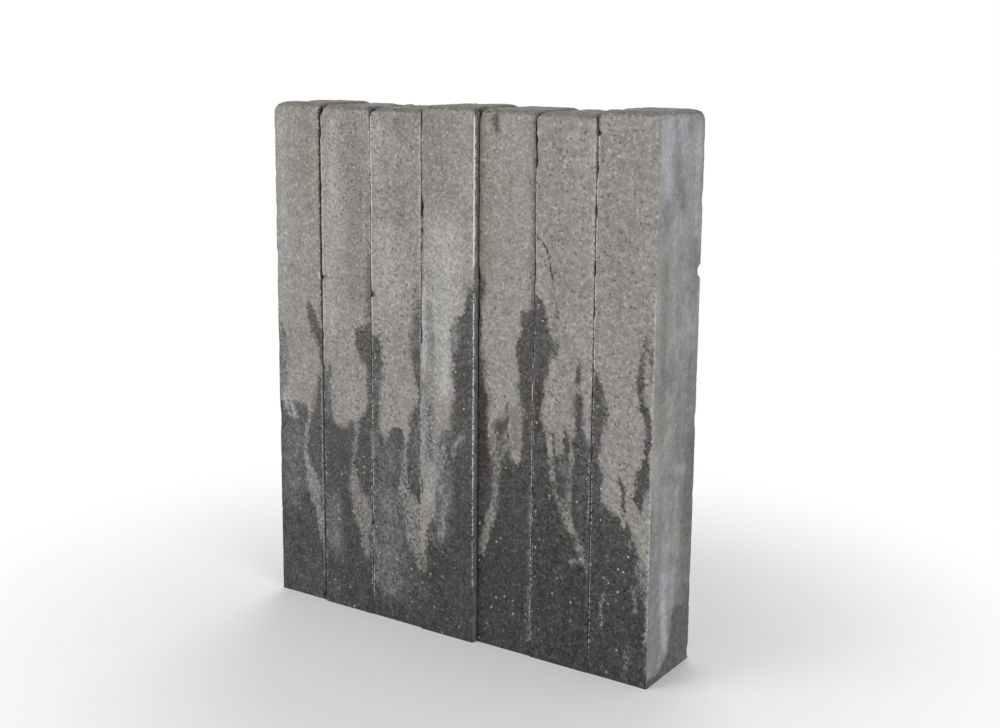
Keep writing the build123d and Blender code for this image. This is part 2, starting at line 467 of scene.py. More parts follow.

# %% Dirt and painted shadow along the joints
joint_dirt_and_shade = {
    # The broad dark line at the right arris of palisade_1 is dirt and a painted shadow beside the proud post
    # next to it.
    "palisade_1": [(1.30, [(0.99, 0.985, 8), (0.99, 0.580, 7)]), (1.30, [(0.99, 0.580, 5), (0.99, 0.020, 5)]),
                   (0.60, [(0.01, 0.654, 2.5), (0.20, 0.655, 2.5), (0.36, 0.658, 2)])],
    "palisade_2": [(0.60, [(0.00, 0.668, 2.5), (0.15, 0.664, 2.5), (0.50, 0.664, 2)])],
    "palisade_3": [(0.60, [(1.00, 0.960, 2), (1.00, 0.480, 2)])],
    "palisade_4": [(0.65, [(0.01, 0.960, 2), (0.02, 0.840, 4), (0.03, 0.770, 4), (0.01, 0.640, 2)]),
                   (0.56, [(0.16, 0.445, 15), (0.18, 0.350, 18)])],
    "palisade_5": [(0.60, [(0.975, 0.990, 3), (0.975, 0.640, 3)])],
    "palisade_6": [(0.35, [(1.00, 0.520, 1.5), (1.00, 0.020, 1.5)]),
                   (0.80, [(0.03, 0.780, 2.5), (0.08, 0.777, 2.5), (0.13, 0.773, 2), (0.17, 0.764, 3.5),
                           (0.22, 0.758, 5), (0.24, 0.745, 3.5), (0.26, 0.735, 2.5), (0.28, 0.722, 4),
                           (0.31, 0.710, 3.5), (0.32, 0.697, 2)]),
                   (0.55, [(0.32, 0.697, 2), (0.36, 0.672, 2.5), (0.39, 0.650, 2.5)])],
}
print("dirt lines", count_strokes(joint_dirt_and_shade))

# %% [markdown]
# ## From drawn marks to numbers on the mesh
# A shader can't read a drawn line, but it can read a number stored at each vertex. For a hard mark,
# such as the damp edge, the number is the distance to its edge, positive inside: the shader can then
# move the edge about with noise. For a soft mark the number is its strength. The distances are worked
# out for all the vertices of a face at once.

# %% Distances to lines and strokes
furthest = 0.05
stroke_fade = 1.3
far_above = 9.0


def nearest_on_run(points, start, end):
    run = end - start
    share = np.clip((points - start) @ run / (run @ run), 0.0, 1.0)
    gap = np.linalg.norm(points - start - share[:, None] * run, axis=1)
    return share, gap


def under_line(points, line):
    above = np.array([(line[-1][0], far_above), (line[0][0], far_above)])
    outline = np.vstack([line, above])
    dry = np.zeros(len(points), bool)
    for (x0, z0), (x1, z1) in zip(outline, np.roll(outline, -1, axis=0)):
        if z0 != z1:
            crosses = (z0 > points[:, 1]) != (z1 > points[:, 1])
            reach = x0 + (points[:, 1] - z0) * (x1 - x0) / (z1 - z0)
            dry ^= crosses & (points[:, 0] < reach)
    gap = np.min([nearest_on_run(points, a, b)[1] for a, b in zip(line[:-1], line[1:])], axis=0)
    return np.where(dry, -gap, gap)


def inside_stroke(points, stroke):
    depth = np.full(len(points), -furthest)
    nearness = np.zeros(len(points))
    for start, end in zip(stroke[:-1], stroke[1:]):
        share, gap = nearest_on_run(points, start[:2], end[:2])
        half_width = start[2] + share * (end[2] - start[2])
        depth = np.maximum(depth, half_width - gap)
        nearness = np.maximum(nearness, np.exp(-stroke_fade * (gap / half_width) ** 2))
    return depth, nearness


def to_metres(marks, width):
    scale = [width, 1.0, 0.001][: len(marks[0])]
    return np.array(marks, float) * scale


level_line = np.array([(0.0, 0.5), (0.1, 0.5)])
print("1 cm under a level line", under_line(np.array([[0.05, 0.49]]), level_line).round(4))


# %% Marks on one face
def hard_marks(points, width, strokes):
    depth = np.full(len(points), -furthest)
    for stroke in strokes:
        depth = np.maximum(depth, inside_stroke(points, to_metres(stroke, width))[0])
    return depth


def soft_marks(points, width, strokes):
    total = np.zeros(len(points))
    for strength, stroke in strokes:
        total = np.maximum(total, strength * inside_stroke(points, to_metres(stroke, width))[1])
    return total


soft_paint = {
    "lime": lime_bloom,
    "bleach": sun_bleach,
    "moist": moist_film,
    "soak": deep_soak,
    "rust": rust_tint,
    "grime_and_shade": grime_and_shade,
    "skin_and_highlight": cement_skin_and_highlight,
    "dirt_and_shade": joint_dirt_and_shade,
}
mark_titles = ("damp", "streak", *soft_paint)


def blank_marks(count):
    blank = {title: np.zeros(count) for title in mark_titles}
    blank["streak"] -= furthest
    return blank


def front_marks(name, points, width):
    damp = under_line(points, to_metres(damp_edges[name], width))
    damp = np.maximum(damp, hard_marks(points, width, damp_runs.get(name, [])))
    drawn = {"damp": damp, "streak": hard_marks(points, width, light_streaks.get(name, []))}
    for title, marks in soft_paint.items():
        drawn[title] = soft_marks(points, width, marks.get(name, []))
    drawn["moist"] = np.maximum(drawn["moist"], first_drying.get(name, 0.0))
    return drawn


print("numbers on each vertex", mark_titles)

# %% [markdown]
# ## The back and the two ends of the block
# The back isn't in the picture. The water that climbs a joint comes out on both sides of it, so the
# back can take the front's own marks, seen through the post: a little lower, and shifted up and down
# by a slow noise so that it is no copy. The two end faces were cast against smooth steel, and there
# the marks are soft clouds of lime and grime with a little damp at the foot.

# %% Marks on the back and the ends
back_height_share = 0.86
back_wander, back_wander_scale = 0.07, 7
back_titles = ("damp", "streak", "lime", "bleach", "moist", "soak")
back_joint_dirt, back_dirt_reach, back_dirt_spread = 0.8, 0.003, 1.4
end_damp_edge = [(0.00, 0.010), (0.30, 0.020), (0.50, 0.040), (0.52, 0.105), (0.62, 0.122), (0.80, 0.115),
                 (1.00, 0.150)]
end_lime = [(0.95, [(0.12, 0.975, 30), (0.16, 0.880, 26)]), (0.62, [(0.50, 0.975, 24), (0.52, 0.940, 22)]),
            (0.50, [(0.85, 0.960, 20), (0.86, 0.800, 18)]), (0.45, [(0.32, 0.345, 16), (0.36, 0.220, 16)]),
            (0.85, [(0.33, 0.190, 18), (0.40, 0.060, 16)]), (0.62, [(0.54, 0.190, 14), (0.52, 0.130, 12)]),
            (0.35, [(0.50, 0.385, 9), (0.76, 0.370, 9)]), (0.32, [(0.60, 0.665, 10), (0.86, 0.635, 16)])]
end_grime = [(0.72, [(0.90, 0.420, 26), (0.88, 0.280, 36), (0.85, 0.130, 34)]),
             (0.40, [(0.20, 0.740, 26), (0.18, 0.620, 30), (0.20, 0.460, 28)]),
             (0.28, [(0.50, 0.770, 20), (0.50, 0.640, 18)]), (0.38, [(0.55, 0.485, 28), (0.60, 0.425, 24)]),
             (0.30, [(0.48, 0.880, 14), (0.56, 0.840, 14)]), (0.26, [(0.85, 0.570, 24), (0.80, 0.520, 24)])]


def back_marks(name, points, width):
    left = post_box[name][0].x
    wander = [noise.noise(Vector((left + x, 0.0, z)) * back_wander_scale) for x, z in points]
    heights = points[:, 1] / back_height_share + back_wander * np.array(wander)
    seen_through = front_marks(name, np.column_stack([points[:, 0], heights]), width)
    side_gap = np.minimum(points[:, 0], width - points[:, 0])
    joint_line = back_joint_dirt * np.clip(back_dirt_spread - side_gap / back_dirt_reach, 0, 1)
    return {title: seen_through[title] for title in back_titles} | {"dirt_and_shade": joint_line}


def end_marks(points, depth):
    return {
        "damp": under_line(points, to_metres(end_damp_edge, depth)),
        "lime": soft_marks(points, depth, end_lime),
        "grime_and_shade": soft_marks(points, depth, end_grime),
    }


print("soft strokes on each end", len(end_lime) + len(end_grime))

# %% [markdown]
# ## Marks on every face of a post
# The front half of a post takes the marks of the front, the rear half those of the back, and the two
# outer sides of the row those of the ends. Inside the joints the cement skin and its painted highlight
# fade out, and dirt with painted shade begins a little way in. On the crowns grime and painted shade lie
# where the top is nearly level and in the valley between two posts. Each face could be picked out by
# hand, but the shape itself knows it: the place and the normal of a vertex say which face it is on.

# %% Front, back and ends
outward = {first_palisade: -1, last_palisade: 1}
facing_side = 0.7


def end_face(name):
    return outward.get(name, 0) * cast_normals[name][:, 0] > facing_side


def paint(marks, chosen, drawn):
    fresh = blank_marks(chosen.sum()) | drawn
    for title in mark_titles:
        marks[title][chosen] = fresh[title]


def paint_faces(name, marks):
    low, high = post_box[name]
    x, y, z = cast_places[name].T
    seen_ahead = np.column_stack([x - low.x, z])
    seen_aside = np.column_stack([y - low.y, z])
    front = y < (low.y + high.y) / 2
    end = end_face(name)
    paint(marks, front, front_marks(name, seen_ahead[front], high.x - low.x))
    paint(marks, ~front, back_marks(name, seen_ahead[~front], high.x - low.x))
    if end.any():
        paint(marks, end, end_marks(seen_aside[end], high.y - low.y))


print("vertices on the ends", {name: int(end_face(name).sum()) for name in outward})

# %% Cement skin, painted highlight, dirt and painted shade inside the joints
skin_highlight_wrap, skin_highlight_spread = 0.0055, 1.8
dirt_and_shade_start, dirt_and_shade_rise = 0.0125, 0.003
dirt_and_shade_end, dirt_and_shade_fall = 0.0325, 0.010


def shade_joints(name, marks):
    low, high = post_box[name]
    y = cast_places[name][:, 1]
    into_joint = np.minimum(y - low.y, high.y - y)
    joint_side = (np.abs(cast_normals[name][:, 0]) > facing_side) & ~end_face(name)
    # The cement skin and its painted highlight wrap a few millimetres onto the side of a proud post.
    marks["skin_and_highlight"] *= np.clip(skin_highlight_spread - into_joint / skin_highlight_wrap, 0, 1)
    # Deeper in the joint the sides are darkened: dirt and painted shade.
    rise = np.clip((into_joint - dirt_and_shade_start) / dirt_and_shade_rise, 0, 1)
    fall = np.clip((dirt_and_shade_end - into_joint) / dirt_and_shade_fall, 0, 1)
    marks["dirt_and_shade"] = np.maximum(marks["dirt_and_shade"], joint_side * rise * fall)


print("joint dirt, mm behind the face", 1000 * dirt_and_shade_start, "to", 1000 * dirt_and_shade_end)

# %% Grime and painted shade on the crowns
crown_grime_and_shade = 0.60
top_slope, top_slope_reach = 0.42, 0.22
front_slope, front_slope_reach = 0.55, 0.25
valley_reach, valley_spread = 0.014, 1.5
valley_height = 1.4 * crown_radius


def shade_crown(name, marks):
    low, high = post_box[name]
    normals = cast_normals[name]
    x, _, z = cast_places[name].T
    # A nearly level top and the valley between two posts are darkened: grime and painted shade.
    top_share = np.clip((normals[:, 2] - top_slope) / top_slope_reach, 0, 1)
    front_share = np.clip((-normals[:, 1] - front_slope) / front_slope_reach, 0, 1)
    side_gap = np.minimum(x - low.x, high.x - x)
    outer_gap = {first_palisade: x - low.x, last_palisade: high.x - x}
    valley_share = np.clip(valley_spread - side_gap / valley_reach, 0, 1) * (1 - front_share)
    valley_share *= z > high.z - valley_height
    if name in outer_gap:
        valley_share *= outer_gap[name] >= valley_reach
    marks["grime_and_shade"] = np.maximum.reduce([marks["grime_and_shade"], crown_grime_and_shade * top_share, valley_share])


print("grime in a valley, mm below the top", round(1000 * valley_height, 1))

# %% Store the marks on the mesh
def write_number(mesh, title, values):
    attribute = mesh.attributes.new(title, "FLOAT", "POINT")
    attribute.data.foreach_set("value", np.asarray(values, np.float32))


def mark_post(name, mesh):
    marks = blank_marks(len(mesh.vertices))
    paint_faces(name, marks)
    shade_joints(name, marks)
    shade_crown(name, marks)
    for title, values in marks.items():
        write_number(mesh, title, values)
    return marks


# %% [markdown]
# ## From worn post to piece
# Each worn post becomes an object of its own, because the real posts can be lifted apart. Joined to
# its neighbours it would be one object less to handle, but then no post could be used alone. Nothing
# moves, so every piece rides on the one body, and each takes the place of its CAD solid.

# %% Turn each worn post into a piece
pieces = {}
for name in palisades:
    mesh = bpy.data.meshes.new(f"concrete_{name}")
    posts[name].to_mesh(mesh)
    posts[name].free()
    mesh.shade_smooth()
    marks = mark_post(name, mesh)
    piece = bpy.data.objects.new(f"concrete_{name}", mesh)
    bpy.context.scene.collection.objects.link(piece)
    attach(piece, "root")
    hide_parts(name)
    pieces[name] = piece
    triangles = sum(len(face.vertices) - 2 for face in mesh.polygons)
    wet_share = (marks["damp"] > 0).mean()
    print(piece.name, "triangles", triangles, "wet share", round(wet_share, 2))

# %% [markdown]
# ## Concrete in nodes
# Cement paste is grey, but what the eye reads as concrete is the sand and stone in it: pale and dark
# grains of a few millimetres, small pores, and a slow mottle from the mix. A photograph of concrete
# could be laid on, but it would repeat and stretch over the crown, so it is worked out from noise in
# the object's own measure. Two finishes share it, the open faces and the smooth sides, so it is a node
# group. The ragged edge of a hard mark and the dotted line along a joint are node groups too.

# %% Small helpers for node trees
def add_node(tree, kind, **settings):
    node = tree.nodes.new(kind)
    for title, value in settings.items():
        setattr(node, title, value)
    return node


def feed(tree, socket, source):
    if isinstance(source, bpy.types.NodeSocket):
        tree.links.new(source, socket)
    else:
        socket.default_value = source


def calculate(tree, operation, first, second=0.0, clamp=False):
    node = add_node(tree, "ShaderNodeMath", operation=operation, use_clamp=clamp)
    feed(tree, node.inputs[0], first)
    feed(tree, node.inputs[1], second)
    return node.outputs[0]


def blend(tree, share, first, second, style="MIX"):
    node = add_node(tree, "ShaderNodeMix", data_type="RGBA", blend_type=style)
    feed(tree, node.inputs[0], share)
    feed(tree, node.inputs[6], first)
    feed(tree, node.inputs[7], second)
    return node.outputs[2]


def between(tree, share, first, second):
    node = add_node(tree, "ShaderNodeMix", data_type="FLOAT")
    feed(tree, node.inputs[0], share)
    feed(tree, node.inputs[2], first)
    feed(tree, node.inputs[3], second)
    return node.outputs[0]


# %% Ramps and noises
def ramp(tree, value, start, end, low=0.0, high=1.0):
    node = add_node(tree, "ShaderNodeMapRange", interpolation_type="SMOOTHSTEP")
    feed(tree, node.inputs["Value"], value)
    feed(tree, node.inputs["From Min"], start)
    feed(tree, node.inputs["From Max"], end)
    feed(tree, node.inputs["To Min"], low)
    feed(tree, node.inputs["To Max"], high)
    return node.outputs["Result"]


def stretch(tree, vector, scale):
    node = add_node(tree, "ShaderNodeMapping")
    feed(tree, node.inputs["Vector"], vector)
    node.inputs["Scale"].default_value = scale
    return node.outputs["Vector"]


def cloud(tree, vector, scale, detail=2.0, roughness=0.5, output="Fac"):
    node = add_node(tree, "ShaderNodeTexNoise")
    feed(tree, node.inputs["Vector"], vector)
    node.inputs["Scale"].default_value = scale
    node.inputs["Detail"].default_value = detail
    node.inputs["Roughness"].default_value = roughness
    return node.outputs[output]


def move(tree, vector, offset):
    node = add_node(tree, "ShaderNodeVectorMath", operation="ADD")
    feed(tree, node.inputs[0], vector)
    feed(tree, node.inputs[1], offset)
    return node.outputs[0]


def multiply(tree, *values):
    product = values[0]
    for value in values[1:]:
        product = calculate(tree, "MULTIPLY", product, value)
    return product


def centred(tree, value, reach):
    return multiply(tree, calculate(tree, "SUBTRACT", value, 0.5), reach)


def cells(tree, vector, scale):
    node = add_node(tree, "ShaderNodeTexVoronoi")
    feed(tree, node.inputs["Vector"], vector)
    node.inputs["Scale"].default_value = scale
    lottery = add_node(tree, "ShaderNodeSeparateColor")
    tree.links.new(node.outputs["Color"], lottery.inputs[0])
    return node.outputs["Distance"], lottery.outputs[0], lottery.outputs[1]


# %% An empty node group
def new_group(title, inputs, outputs):
    tree = bpy.data.node_groups.new(title, "ShaderNodeTree")
    for direction, sockets in (("INPUT", inputs), ("OUTPUT", outputs)):
        for socket_title, kind in sockets:
            tree.interface.new_socket(socket_title, in_out=direction, socket_type=f"NodeSocket{kind}")
    return tree, add_node(tree, "NodeGroupInput"), add_node(tree, "NodeGroupOutput")


# %% Pores and stones
# Scales are in cells or waves a metre: at 145 the cell of a pore is about 7 mm wide. A size is a share
# of the cell, and an edge is where the pore or stone starts and where it is full, in shares of its size.
crowd_scale, crowd_range = 26, (0.34, 0.66)
pore_scale, pore_place = 145, (0.21, 0.47, 0.09)
pore_sizes, pore_edge = (0.14, 0.44), (1.2, 0.5)
pore_limits, pore_choice = (0.76, 0.25), (0.0, 0.15)
stone_scale, stone_choice = 105, (0.80, 0.92)
stone_sizes, stone_edge = (0.12, 0.27), (1.1, 0.6)
stone_share_range, stone_lights = (0.2, 1.0), (0.25, 0.95)


def grain_shape(tree, gap, ragged, size, edge):
    ragged_gap = calculate(tree, "ADD", gap, ragged)
    return ramp(tree, calculate(tree, "DIVIDE", ragged_gap, size), *edge)


def make_pores(tree, vector, ragged):
    gap, lot, share = cells(tree, move(tree, vector, pore_place), pore_scale)
    shape = grain_shape(tree, gap, ragged, ramp(tree, share, 0.0, 1.0, *pore_sizes), pore_edge)
    limit = ramp(tree, cloud(tree, vector, crowd_scale, detail=2), *crowd_range, *pore_limits)
    chosen = ramp(tree, calculate(tree, "SUBTRACT", lot, limit), *pore_choice)
    return multiply(tree, shape, chosen)


def make_stones(tree, vector, ragged):
    gap, lot, share = cells(tree, vector, stone_scale)
    shape = grain_shape(tree, gap, ragged, ramp(tree, share, 0.0, 1.0, *stone_sizes), stone_edge)
    light = ramp(tree, share, *stone_share_range, *stone_lights)
    return multiply(tree, shape, light, ramp(tree, lot, *stone_choice))


print("pores, mm wide", [round(2000 * size / pore_scale, 1) for size in pore_sizes])
print("stones, mm wide", [round(2000 * size / stone_scale, 1) for size in stone_sizes])

# %% The grain of the concrete
ragged_scale, ragged_reach = 340, 0.42
sand_scale, sand_place, speck_range = 170, (0.37, 0.11, 0.73), (0.59, 0.72)
mottle_scale = 52
grain_outputs = ("Pale Grains", "Stones", "Dark Pores", "Sand", "Mottle", "Height")


def make_grain_group():
    outputs = [(title, "Float") for title in grain_outputs]
    tree, given, made = new_group("cement_grain", [("Vector", "Vector")], outputs)
    vector = given.outputs["Vector"]
    ragged = centred(tree, cloud(tree, vector, ragged_scale, detail=2), ragged_reach)
    pore = make_pores(tree, vector, ragged)
    stone = make_stones(tree, vector, ragged)
    sand = cloud(tree, move(tree, vector, sand_place), sand_scale, detail=3, roughness=0.7)
    pale = calculate(tree, "MAXIMUM", ramp(tree, sand, *speck_range), stone)
    mottle = cloud(tree, vector, mottle_scale, detail=4, roughness=0.65)
    rise = multiply(tree, calculate(tree, "ADD", sand, pale), 0.5)
    height = calculate(tree, "SUBTRACT", rise, pore)
    for title, value in zip(grain_outputs, (pale, stone, pore, sand, mottle, height)):
        feed(tree, made.inputs[title], value)
    return tree


grain_group = make_grain_group()
print(grain_group.name, "nodes", len(grain_group.nodes))

# %% A ragged edge from a stored distance
# Each wave moves the edge to and fro by half its reach, in metres.
broad_scale, broad_stretch, broad_reach = 38, (1, 1, 0.6), 0.028
middle_scale, middle_reach = 105, 0.012
fine_scale, fine_reach = 230, 0.018
softness_scale, softness_range, softness_widths = 17, (0.38, 0.62), (0.0022, 0.0085)
rim_rise, rim_fall = (-0.012, -0.002), (0.002, -0.001)


def make_edge_group():
    inputs = [("Vector", "Vector"), ("Distance", "Float")]
    tree, given, made = new_group("ragged_edge", inputs, [("Inside", "Float"), ("Rim", "Float")])
    vector = given.outputs["Vector"]
    broad = cloud(tree, stretch(tree, vector, broad_stretch), broad_scale, detail=2)
    middle = cloud(tree, vector, middle_scale, detail=2, roughness=0.6)
    fine = cloud(tree, vector, fine_scale, detail=3, roughness=0.7)
    shift = calculate(tree, "ADD", centred(tree, broad, broad_reach), centred(tree, middle, middle_reach))
    shift = calculate(tree, "ADD", shift, centred(tree, fine, fine_reach))
    depth = calculate(tree, "ADD", given.outputs["Distance"], shift)
    softness = ramp(tree, cloud(tree, vector, softness_scale, detail=2), *softness_range, *softness_widths)
    feed(tree, made.inputs["Inside"], ramp(tree, calculate(tree, "DIVIDE", depth, softness), -1.0, 1.0))
    rim = multiply(tree, ramp(tree, depth, *rim_rise), ramp(tree, depth, *rim_fall))
    feed(tree, made.inputs["Rim"], rim)
    return tree


edge_group = make_edge_group()
print(edge_group.name, "nodes", len(edge_group.nodes))

# %% A dotted line from a stored strength
dot_scale, dot_stretch, dot_range = 260, (1, 1, 0.75), (0.30, 0.70)
dot_edge = (-0.20, 0.20)


def make_dots_group():
    inputs = [("Vector", "Vector"), ("Strength", "Float")]
    tree, given, made = new_group("dotted_line", inputs, [("Covered", "Float")])
    vector = stretch(tree, given.outputs["Vector"], dot_stretch)
    dots = cloud(tree, vector, dot_scale, detail=2, roughness=0.6)
    excess = calculate(tree, "SUBTRACT", given.outputs["Strength"], ramp(tree, dots, *dot_range))
    feed(tree, made.inputs["Covered"], ramp(tree, excess, *dot_edge))
    return tree


dots_group = make_dots_group()
print(dots_group.name, "nodes", len(dots_group.nodes))

# %% [markdown]
# ## The concrete recipe
# Water makes concrete darker because less light comes back out of a wet pore, so dry and wet paste
# have their own tones. The recipe lays them in the order of the weather: dry paste with bleach, rust,
# and grime with painted shade, wet paste with its soaked places and dried streaks, the ragged damp edge
# between the two, then the drying film and the lime. The sand, pores and grains stay the same through
# all of these, so they come after them. The lines along the joints, with their painted highlight and
# painted shadow, lie on top.

# %% Reading marks and placing groups
def stored(tree, title):
    return add_node(tree, "ShaderNodeAttribute", attribute_name=title).outputs["Fac"]


def place_group(tree, group, **sources):
    node = add_node(tree, "ShaderNodeGroup", node_tree=group)
    for title, source in sources.items():
        feed(tree, node.inputs[title], source)
    return node.outputs


# %% Dry paste, its stains and painted shade
dry_range = (0.35, 0.65)
dry_stains_and_shade = {
    "bleach": (0.400, 0.390, 0.370, 1),
    "rust": (0.250, 0.214, 0.176, 1),
    # The grime colour also paints shade on the crowns and in the valleys between posts.
    "grime_and_shade": (0.118, 0.110, 0.098, 1),
}


def dry_tone(tree, slow, finish):
    colour = blend(tree, ramp(tree, slow, *dry_range), finish["dry cool"], finish["dry warm"])
    for title, stain in dry_stains_and_shade.items():
        colour = blend(tree, stored(tree, title), colour, stain)
    return colour


print("stains on dry paste", list(dry_stains_and_shade))

# %% Wet paste, soaked places and dried streaks
# The damp thins out upwards: at the upper height half of the tone is half wet.
half_wet_colour = (0.129, 0.122, 0.118, 1)
soak_colour = (0.045, 0.038, 0.034, 1)
streak_colour = (0.205, 0.196, 0.181, 1)
blotch_range = (0.30, 0.70)
half_wet_heights, half_wet_shares = (0.08, 0.66), (0.0, 0.5)
streak_sand_range, streak_shares = (0.34, 0.58), (0.70, 1.0)


def wet_tone(tree, vector, slow, grain, streak, finish):
    blotches = calculate(tree, "ADD", multiply(tree, slow, 0.5), multiply(tree, grain["Mottle"], 0.5))
    colour = blend(tree, ramp(tree, blotches, *blotch_range), finish["wet deep"], finish["wet soft"])
    place = add_node(tree, "ShaderNodeSeparateXYZ")
    tree.links.new(vector, place.inputs[0])
    half_wet = ramp(tree, place.outputs["Z"], *half_wet_heights, *half_wet_shares)
    colour = blend(tree, half_wet, colour, half_wet_colour)
    colour = blend(tree, stored(tree, "soak"), colour, soak_colour)
    sandy = ramp(tree, grain["Sand"], *streak_sand_range, *streak_shares)
    return blend(tree, multiply(tree, streak["Inside"], sandy), colour, streak_colour)


print("half wet between the heights", half_wet_heights)

# %% Drying film and lime
moist_colour = (0.222, 0.219, 0.222, 1)
lime_colour = (0.392, 0.394, 0.414, 1)
veil_scale, veil_stretch = 60, (1, 1, 0.55)
film_range, film_shares = (0.38, 0.62), (0.35, 1.65)
lime_range, lime_shares = (0.34, 0.66), (0.70, 1.30)
rim_film = 0.18


def film_and_lime(tree, vector, damp, colour):
    veil = cloud(tree, stretch(tree, vector, veil_stretch), veil_scale, detail=6, roughness=0.75)
    film = multiply(tree, stored(tree, "moist"), ramp(tree, veil, *film_range, *film_shares))
    film = calculate(tree, "MAXIMUM", film, multiply(tree, damp["Rim"], rim_film), clamp=True)
    colour = blend(tree, film, colour, moist_colour)
    lime = multiply(tree, stored(tree, "lime"), ramp(tree, veil, *lime_range, *lime_shares))
    return blend(tree, lime, colour, lime_colour)


print("waves in the veil, mm", round(1000 / veil_scale))

# %% Tint, mottle and sand
# A wet skin shows its sand and pores with more contrast than a dry one.
lilac_tint = (1.003, 0.990, 1.035, 1)
olive_tint = (0.997, 1.007, 0.962, 1)
tint_scale, tint_range = 22, (0.34, 0.66)
band_scale, band_stretch, band_range = 48, (1, 1, 0.08), (0.25, 0.75)
sand_range, mottle_tones = (0.28, 0.72), (0.87, 1.13)
pore_tones, contrasts = (1.0, 0.45), (1.0, 1.7)


def sand_tone(tree, vector, grain, wet, colour, finish):
    tint = ramp(tree, cloud(tree, vector, tint_scale, detail=4, roughness=0.65), *tint_range)
    colour = blend(tree, 1.0, colour, blend(tree, tint, lilac_tint, olive_tint), "MULTIPLY")
    bands = cloud(tree, stretch(tree, vector, band_stretch), band_scale, detail=4, roughness=0.6)
    band = ramp(tree, bands, *band_range, 1 - finish["bands"], 1 + finish["bands"])
    mottle = ramp(tree, grain["Mottle"], *sand_range, *mottle_tones)
    sand = ramp(tree, grain["Sand"], *sand_range, 1 - finish["sand"], 1 + finish["sand"])
    pore = ramp(tree, multiply(tree, grain["Dark Pores"], finish["grains"]), 0.0, 1.0, *pore_tones)
    contrast = ramp(tree, wet, 0.0, 1.0, *contrasts)
    fine = calculate(tree, "POWER", multiply(tree, sand, pore), contrast)
    return blend(tree, 1.0, colour, multiply(tree, mottle, band, fine), "MULTIPLY")


print("tint clouds, mm", round(1000 / tint_scale))

# %% Pale grains and the lines along the joints
# Where the skin is wet, most of the pale sand is dark too, and only the stones stay pale.
pale_grain_colour = (0.560, 0.540, 0.510, 1)
wet_sand_share = 0.27
# The pale line is cement skin and a painted highlight, the dark line dirt and a painted shadow.
line_colours = {"skin_and_highlight": (0.700, 0.675, 0.630, 1), "dirt_and_shade": (0.026, 0.023, 0.021, 1)}
line_shares = {"skin_and_highlight": (0.15, 1.0), "dirt_and_shade": (0.20, 1.0)}


def pale_grains(tree, grain, wet, colour, finish):
    wet_sand = multiply(tree, grain["Pale Grains"], wet_sand_share)
    wet_pale = calculate(tree, "MAXIMUM", grain["Stones"], wet_sand)
    pale = between(tree, wet, grain["Pale Grains"], wet_pale)
    return blend(tree, multiply(tree, pale, finish["grains"]), colour, pale_grain_colour)


def add_joint_line(tree, vector, title, colour):
    strength = stored(tree, title)
    dots = place_group(tree, dots_group, Vector=vector, Strength=strength)
    cover = multiply(tree, dots["Covered"], ramp(tree, strength, 0.0, 1.0, *line_shares[title]))
    return blend(tree, cover, colour, line_colours[title])


print("lines along the joints", list(line_colours))

# %% One finish from the recipe
slow_scale, slow_stretch = 13, (1, 1, 0.6)
grain_height = 0.0012
dry_and_wet_roughness = (0.92, 0.78)
specular_level = 0.2


def make_concrete(title, finish):
    material = bpy.data.materials.new(title)
    material.use_nodes = True
    tree = material.node_tree
    shader = tree.nodes["Principled BSDF"]
    vector = add_node(tree, "ShaderNodeTexCoord").outputs["Object"]
    grain = place_group(tree, grain_group, Vector=vector)
    damp = place_group(tree, edge_group, Vector=vector, Distance=stored(tree, "damp"))
    streak = place_group(tree, edge_group, Vector=vector, Distance=stored(tree, "streak"))
    slow = cloud(tree, stretch(tree, vector, slow_stretch), slow_scale, detail=4, roughness=0.6)
    wet = damp["Inside"]
    wet_colour = wet_tone(tree, vector, slow, grain, streak, finish)
    colour = blend(tree, wet, dry_tone(tree, slow, finish), wet_colour)
    colour = film_and_lime(tree, vector, damp, colour)
    colour = sand_tone(tree, vector, grain, wet, colour, finish)
    colour = pale_grains(tree, grain, wet, colour, finish)
    for line in line_colours:
        colour = add_joint_line(tree, vector, line, colour)
    bump = add_node(tree, "ShaderNodeBump")
    bump.inputs["Strength"].default_value = finish["bump"]
    bump.inputs["Distance"].default_value = grain_height
    feed(tree, bump.inputs["Height"], grain["Height"])
    feed(tree, shader.inputs["Base Color"], colour)
    feed(tree, shader.inputs["Roughness"], ramp(tree, wet, 0.0, 1.0, *dry_and_wet_roughness))
    feed(tree, shader.inputs["Normal"], bump.outputs["Normal"])
    shader.inputs["Specular IOR Level"].default_value = specular_level
    return material


print("roughness dry and wet", dry_and_wet_roughness)

# %% [markdown]
# ## Two finishes
# The open faces are warm grey when dry and almost black when wet, with grain that can be felt. The two
# sides of a post were cast against smooth steel: cooler, cloudier, with little grain and a paler wet
# tone. They could be two materials built apart, but then a change to one would be forgotten in the
# other, so both are the one recipe with other values. The normal of a face says which finish it has.

# %% Mix the two finishes
finishes = {
    "open_face_concrete": {
        "dry cool": (0.282, 0.271, 0.253, 1),
        "dry warm": (0.275, 0.259, 0.238, 1),
        "wet deep": (0.039, 0.037, 0.038, 1),
        "wet soft": (0.056, 0.053, 0.054, 1),
        "sand": 0.27,
        "grains": 0.70,
        "bands": 0.06,
        "bump": 0.6,
    },
    "steel_cast_concrete": {
        "dry cool": (0.205, 0.207, 0.212, 1),
        "dry warm": (0.310, 0.308, 0.304, 1),
        "wet deep": (0.095, 0.095, 0.097, 1),
        "wet soft": (0.135, 0.135, 0.137, 1),
        "sand": 0.14,
        "grains": 0.25,
        "bands": 0.08,
        "bump": 0.25,
    },
}
steel_side = 0.8
materials = [make_concrete(title, finish) for title, finish in finishes.items()]

for piece in pieces.values():
    for material in materials:
        piece.data.materials.append(material)
    for face in piece.data.polygons:
        face.material_index = 1 if abs(face.normal.x) > steel_side else 0
print("materials", {material.name: len(material.node_tree.nodes) for material in materials})

